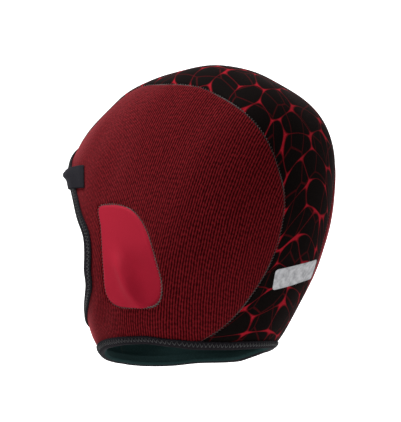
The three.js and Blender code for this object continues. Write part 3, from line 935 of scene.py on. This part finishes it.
# Ribbed knit: slanting ribs of short stitches, with a painted highlight on the rib tops and painted shade in the
# grooves between, over the cloth's own grain
def side_cloth():
    material, nodes, links, shader = new_material("side_cloth_knit", 0.85, 0.74, (0.72, 0.13, 0.155), 0.35, 0.02)
    place = object_place(nodes)
    attribute = nodes.new("ShaderNodeAttribute")
    attribute.attribute_name = "knit_place"
    flat = attribute.outputs["Vector"]
    wobble = noise(nodes, links, place, 90, 1.0)
    across = along_axis(nodes, links, flat, RIB_ACROSS)
    across = math_node(nodes, links, "MULTIPLY_ADD", wobble, 0.0011, across)
    along = along_axis(nodes, links, flat, RIB_ALONG)
    rib = math_node(nodes, links, "SINE", math_node(nodes, links, "MULTIPLY", across, 2 * math.pi / RIB_PITCH))
    number = math_node(nodes, links, "FLOOR", math_node(nodes, links, "DIVIDE", across, RIB_PITCH))
    start = nodes.new("ShaderNodeTexWhiteNoise")
    start.noise_dimensions = "1D"
    links.new(number, start.inputs["W"])
    shift = math_node(nodes, links, "MULTIPLY", start.outputs["Value"], 2 * math.pi)
    turn = math_node(nodes, links, "MULTIPLY_ADD", along, 2 * math.pi / STITCH_LENGTH, shift)
    stitch = math_node(nodes, links, "SINE", turn)
    weave = math_node(nodes, links, "MULTIPLY_ADD", stitch, 0.13, math_node(nodes, links, "MULTIPLY", rib, 0.44))
    speckle = noise(nodes, links, flat, 430, 1.0)
    speckle = math_node(nodes, links, "MULTIPLY_ADD", speckle, 1.0, -0.5)
    weave = math_node(nodes, links, "ADD", weave, speckle)
    back = along_axis(nodes, links, flat, (1, 0, 0))
    clear = math_node(nodes, links, "MULTIPLY_ADD", step_up(nodes, links, back, -0.06, -0.01), 0.6, 0.4)
    height = math_node(nodes, links, "MULTIPLY_ADD", weave, clear, 0.38)
    fibre = noise(nodes, links, place, 1000, 2.0)
    height = math_node(nodes, links, "MULTIPLY_ADD", fibre, 0.6, height)
    # Colour follows the rib and stitch height: painted highlight on the tops and painted shade between them. The
    # speckle and fibre noise are the cloth's own grain.
    painted_rib_shade = math_node(nodes, links, "MULTIPLY_ADD", height, 1.35, -0.47)
    knit = mix_colour(nodes, links, painted_rib_shade, (0.011, 0.0002, 0.0005), (0.172, 0.0083, 0.0122))
    patchy = noise(nodes, links, place, 28, 3.0)
    colour = mix_colour(nodes, links, math_node(nodes, links, "MULTIPLY", patchy, 0.3), knit, (0.055, 0.0016, 0.0028))
    links.new(colour, shader.inputs["Base Color"])
    bump(nodes, links, shader, height, 0.0003, 0.6)
    return material


NET_SCALE = 36
NET_STRETCH = 1.5


# Smooth step of a value between two levels
def step_up(nodes, links, value, low, high):
    node = nodes.new("ShaderNodeMapRange")
    node.interpolation_type = "SMOOTHSTEP"
    node.inputs["From Min"].default_value = low
    node.inputs["From Max"].default_value = high
    links.new(value, node.inputs["Value"])
    return node.outputs["Result"]


# Black knit with a dark red net that thickens where three cells meet
def centre_cloth():
    material, nodes, links, shader = new_material("centre_cloth_net", 0.85, 0.03, (0.6, 0.3, 0.3), 0.4, 0.03)
    attribute = nodes.new("ShaderNodeAttribute")
    attribute.attribute_name = "net_place"
    flat = attribute.outputs["Vector"]
    place = object_place(nodes)
    warp = nodes.new("ShaderNodeTexNoise")
    warp.inputs["Scale"].default_value = 34
    warp.inputs["Detail"].default_value = 0
    links.new(flat, warp.inputs["Vector"])
    bend = nodes.new("ShaderNodeVectorMath")
    bend.operation = "MULTIPLY_ADD"
    links.new(warp.outputs["Color"], bend.inputs[0])
    bend.inputs[1].default_value = (0.009, 0.009, 0)
    links.new(flat, bend.inputs[2])

    def cells(feature, scale, stretch, randomness, smoothness=0.0):
        squeeze = nodes.new("ShaderNodeVectorMath")
        squeeze.operation = "MULTIPLY"
        links.new(bend.outputs[0], squeeze.inputs[0])
        squeeze.inputs[1].default_value = (1.0, stretch, 1.0)
        node = nodes.new("ShaderNodeTexVoronoi")
        node.voronoi_dimensions = "2D"
        node.feature = feature
        node.inputs["Scale"].default_value = scale
        node.inputs["Randomness"].default_value = randomness
        if feature == "SMOOTH_F1":
            node.inputs["Smoothness"].default_value = smoothness
        links.new(squeeze.outputs[0], node.inputs["Vector"])
        return node.outputs["Distance"]

    near = cells("F1", NET_SCALE, NET_STRETCH, 0.7)
    smooth = cells("SMOOTH_F1", NET_SCALE, NET_STRETCH, 0.7, 0.9)
    gather = math_node(nodes, links, "SUBTRACT", near, smooth)
    edge = cells("DISTANCE_TO_EDGE", NET_SCALE, NET_STRETCH, 0.7)
    web = math_node(nodes, links, "MULTIPLY_ADD", gather, 5.6, -0.55)
    web = math_node(nodes, links, "SUBTRACT", web, edge)
    thick = step_up(nodes, links, web, -0.03, 0.04)
    knot = step_up(nodes, links, web, 0.06, 0.30)
    fine_edge = cells("DISTANCE_TO_EDGE", NET_SCALE * 1.35, NET_STRETCH * 0.45, 0.9)
    thin = step_up(nodes, links, math_node(nodes, links, "MULTIPLY", fine_edge, -1.0), -0.03, -0.012)
    thin = math_node(nodes, links, "MULTIPLY", thin, 0.4)
    drawn = math_node(nodes, links, "MAXIMUM", thick, thin)
    fine = noise(nodes, links, place, 1300, 2.0)
    black = mix_colour(nodes, links, fine, (0.0014, 0.0009, 0.0008), (0.0052, 0.0034, 0.0031))
    dull = mix_colour(nodes, links, fine, (0.060, 0.0017, 0.0034), (0.13, 0.0042, 0.0080))
    bright = mix_colour(nodes, links, fine, (0.22, 0.0037, 0.0095), (0.40, 0.0125, 0.025))
    red = mix_colour(nodes, links, knot, dull, bright)
    colour = mix_colour(nodes, links, drawn, black, red)
    links.new(colour, shader.inputs["Base Color"])
    bump(nodes, links, shader, fine, 0.00012, 0.5)
    return material


# Smooth fine jersey of the ear patch
def ear_cloth():
    material, nodes, links, shader = new_material("ear_cloth_jersey", 0.7, 0.06, (0.9, 0.3, 0.35), 0.35, 0.1)
    place = object_place(nodes)
    fine = noise(nodes, links, place, 1500, 2.0)
    patchy = noise(nodes, links, place, 40, 2.0)
    colour = mix_colour(nodes, links, fine, (0.275, 0.0046, 0.0168), (0.385, 0.0085, 0.0305))
    colour = mix_colour(nodes, links, math_node(nodes, links, "MULTIPLY", patchy, 0.3), colour, (0.26, 0.0040, 0.0152))
    links.new(colour, shader.inputs["Base Color"])
    bump(nodes, links, shader, fine, 0.00012, 0.5)
    return material


# Woven tape: fine cross ribs along its length
def tape_cloth(name, dark, light, pitch):
    material, nodes, links, shader = new_material(name, 0.75, 0.05, (0.6, 0.6, 0.7), 0.4, 0.05)
    place = object_place(nodes)
    weave = nodes.new("ShaderNodeTexWave")
    weave.wave_type = "BANDS"
    weave.bands_direction = "DIAGONAL"
    weave.inputs["Scale"].default_value = 0.314 / pitch
    weave.inputs["Distortion"].default_value = 1.2
    weave.inputs["Detail Scale"].default_value = 2.0
    links.new(place, weave.inputs["Vector"])
    fine = noise(nodes, links, place, 1200, 2.0)
    height = math_node(nodes, links, "MULTIPLY_ADD", fine, 0.6, weave.outputs["Fac"])
    colour = mix_colour(nodes, links, math_node(nodes, links, "MULTIPLY", height, 0.6), dark, light)
    links.new(colour, shader.inputs["Base Color"])
    bump(nodes, links, shader, height, 0.00018, 0.6)
    return material


# Plush lining of the inside
def lining():
    material, nodes, links, shader = new_material("lining_plush", 0.95, 0.03, (0.4, 0.7, 0.7), 0.6, 0.04)
    place = object_place(nodes)
    pile = noise(nodes, links, place, 900, 3.0)
    colour = mix_colour(nodes, links, pile, (0.006, 0.0165, 0.0165), (0.019, 0.043, 0.043))
    links.new(colour, shader.inputs["Base Color"])
    bump(nodes, links, shader, pile, 0.0003, 0.6)
    return material


# Foam core that shows at a cut edge
def foam():
    material, nodes, links, shader = new_material("foam_edge", 0.9, 0.0, specular=0.2)
    place = object_place(nodes)
    pores = noise(nodes, links, place, 1600, 2.0)
    links.new(mix_colour(nodes, links, pores, (0.02, 0.017, 0.015), (0.07, 0.06, 0.053)), shader.inputs["Base Color"])
    bump(nodes, links, shader, pores, 0.0002, 0.6)
    return material


def thread(name, dark, light):
    material, nodes, links, shader = new_material(name, 0.6, 0.2, specular=0.4)
    place = object_place(nodes)
    strands = noise(nodes, links, place, 2200, 2.0)
    links.new(mix_colour(nodes, links, strands, dark, light), shader.inputs["Base Color"])
    bump(nodes, links, shader, strands, 0.0001, 0.5)
    return material


# Pale film with worn, creased patches
def strip_film():
    material, nodes, links, shader = new_material("strip_film_grey", 0.42, specular=0.5)
    place = object_place(nodes)
    wear = noise(nodes, links, place, 260, 4.0, 0.65)
    fine = noise(nodes, links, place, 1300, 2.0)
    ramp = nodes.new("ShaderNodeValToRGB")
    ramp.color_ramp.elements[0].position = 0.3
    ramp.color_ramp.elements[0].color = (0.3, 0.3, 0.32, 1)
    ramp.color_ramp.elements[1].position = 0.62
    ramp.color_ramp.elements[1].color = (0.62, 0.62, 0.64, 1)
    links.new(wear, ramp.inputs["Fac"])
    links.new(mix_colour(nodes, links, 0.2, ramp.outputs["Color"], fine, "MULTIPLY"), shader.inputs["Base Color"])
    bump(nodes, links, shader, fine, 0.0001, 0.5)
    return material


def plain_stage(name, colour, strength):
    material = bpy.data.materials.new(name)
    material.use_nodes = True
    shader = material.node_tree.nodes["Principled BSDF"]
    shader.inputs["Base Color"].default_value = (*colour, 1)
    shader.inputs["Roughness"].default_value = 0.9
    shader.inputs["Emission Color"].default_value = (1, 1, 1, 1)
    shader.inputs["Emission Strength"].default_value = strength
    return material


# Camera of the photograph: two metres away on the wearer's left, behind and a little below
AZIMUTH = math.radians(126)
ELEVATION = math.radians(-10)
DISTANCE = 2.0
MM_PER_PIXEL = 0.72 * MM
IMAGE_WIDTH, IMAGE_HEIGHT = 401, 422
TARGET_PIXEL = (201.0, 216.0)
TARGET = Vector((0, 0, -0.101))
BACK = Vector((math.sin(AZIMUTH) * math.cos(ELEVATION), -math.cos(AZIMUTH) * math.cos(ELEVATION),
               math.sin(ELEVATION)))


def add_camera():
    data = bpy.data.cameras.new("camera")
    data.sensor_fit = "VERTICAL"
    data.sensor_height = 24.0
    data.lens = data.sensor_height * DISTANCE / (IMAGE_HEIGHT * MM_PER_PIXEL)
    data.shift_x = (IMAGE_WIDTH / 2 - TARGET_PIXEL[0]) / IMAGE_HEIGHT
    data.shift_y = (TARGET_PIXEL[1] - IMAGE_HEIGHT / 2) / IMAGE_HEIGHT
    data.clip_end = 50
    camera = bpy.data.objects.new("camera", data)
    camera.location = TARGET + BACK * DISTANCE
    camera.rotation_euler = BACK.to_track_quat("Z", "Y").to_euler()
    bpy.context.scene.collection.objects.link(camera)
    bpy.context.scene.camera = camera


def add_light(name, direction, distance, size, power, colour=(1, 1, 1)):
    data = bpy.data.lights.new(name, "AREA")
    data.shape = "DISK"
    data.size = size
    data.energy = power
    data.color = colour
    light = bpy.data.objects.new(name, data)
    way = Vector(direction).normalized()
    light.location = TARGET + way * distance
    light.rotation_euler = way.to_track_quat("Z", "Y").to_euler()
    bpy.context.scene.collection.objects.link(light)


def add_plane(name, centre, across, up, size, material):
    across, up = Vector(across).normalized(), Vector(up).normalized()
    corners = [Vector(centre) + across * sx * size / 2 + up * sy * size / 2 for sx, sy in
               ((-1, -1), (1, -1), (1, 1), (-1, 1))]
    mesh = bpy.data.meshes.new(name)
    mesh.from_pydata([tuple(corner) for corner in corners], [], [(0, 1, 2, 3)])
    mesh.materials.append(material)
    plane = bpy.data.objects.new(name, mesh)
    bpy.context.scene.collection.objects.link(plane)


def add_stage():
    right = Vector((math.cos(AZIMUTH), math.sin(AZIMUTH), 0))
    level = Vector((math.sin(AZIMUTH), -math.cos(AZIMUTH), 0))
    floor_z = -0.62
    add_plane("floor", (0, 0, floor_z), (1, 0, 0), (0, 1, 0), 9.0, plain_stage("floor_pale", (0.85, 0.85, 0.85), 0.0))
    add_plane("backdrop", TARGET - level * 3.2 + Vector((0, 0, 1.2)), right, (0, 0, 1), 4.6,
              plain_stage("backdrop_pale", (0.9, 0.9, 0.9), 1.0))
    world = bpy.data.worlds.new("studio")
    world.use_nodes = True
    world.node_tree.nodes["Background"].inputs["Color"].default_value = (1, 1, 1, 1)
    world.node_tree.nodes["Background"].inputs["Strength"].default_value = 0.32
    bpy.context.scene.world = world
    bpy.context.scene.view_settings.view_transform = "Standard"
    up = Vector((0, 0, 1))
    add_light("key_light", BACK * 0.2 - right * 0.8 + up * 1.8, 1.9, 0.9, 48)
    add_light("side_light", BACK * 0.15 - right * 1.0 + up * 0.2, 1.9, 0.8, 6.5)
    add_light("fill_light", BACK + right * 0.1 + up * 0.1, 2.2, 1.4, 3.6)
    add_light("rim_light", -BACK * 0.35 + right * 1.0 + up * 0.5, 1.8, 0.9, 5)


def build_cap():
    red, net, patch = side_cloth(), centre_cloth(), ear_cloth()
    inside, core = lining(), foam()
    tape = tape_cloth("edge_tape_weave", (0.004, 0.0034, 0.0044), (0.0145, 0.0125, 0.0160), 0.9 * MM)
    tab = tape_cloth("tab_weave", (0.0045, 0.0040, 0.0058), (0.0125, 0.0115, 0.0160), 0.7 * MM)
    grey = thread("tape_thread", (0.004, 0.004, 0.005), (0.015, 0.0145, 0.0175))
    olive = thread("ear_thread", (0.030, 0.022, 0.019), (0.105, 0.078, 0.07))
    brown = thread("seam_thread", (0.016, 0.009, 0.008), (0.06, 0.036, 0.032))
    for side, left in (("left", True), ("right", False)):
        side_panel("side_panel_%s_cloth" % side, "side_panel_" + side, left, [red, inside, core])
        ear_patch("ear_patch_%s_cloth" % side, "ear_patch_" + side, left, [patch, inside, core])
        line = seam_line if left else mirrored(seam_line)
        seam_stitches("seam_stitches_" + side, line[6:-6], 2.2 * MM, 0.8 * MM, brown)
        outline = ear_outline(np.linspace(0, 360, 300), SEAM_GAP / 2)
        outline = outline if left else mirrored(outline)
        seam_stitches("ear_stitches_" + side, outline, 2.2 * MM, 0.75 * MM, olive)
        seam_cord("seam_cord_" + side, line[2:-2], False, brown)
        seam_cord("ear_cord_" + side, outline[:-1], True, olive)
    chin = on_skin(np.linspace(neck_line[-1], face_line[0], 12)[1:-1])
    seam_cord("chin_cord", chin, False, olive)
    centre_panel([net, inside, core])
    edge_tape("face_tape", "face_binding", face_loop(), [tape, inside], CHEEK_BULGE)
    edge_tape("neck_tape", "neck_binding", neck_loop(), [tape, inside])
    zigzag("face_tape_stitches", face_loop(), grey)
    zigzag("neck_tape_stitches", neck_loop(), grey)
    binding_tab([tab])
    nape_strip([strip_film()])


add_camera()
add_stage()
build_cap()
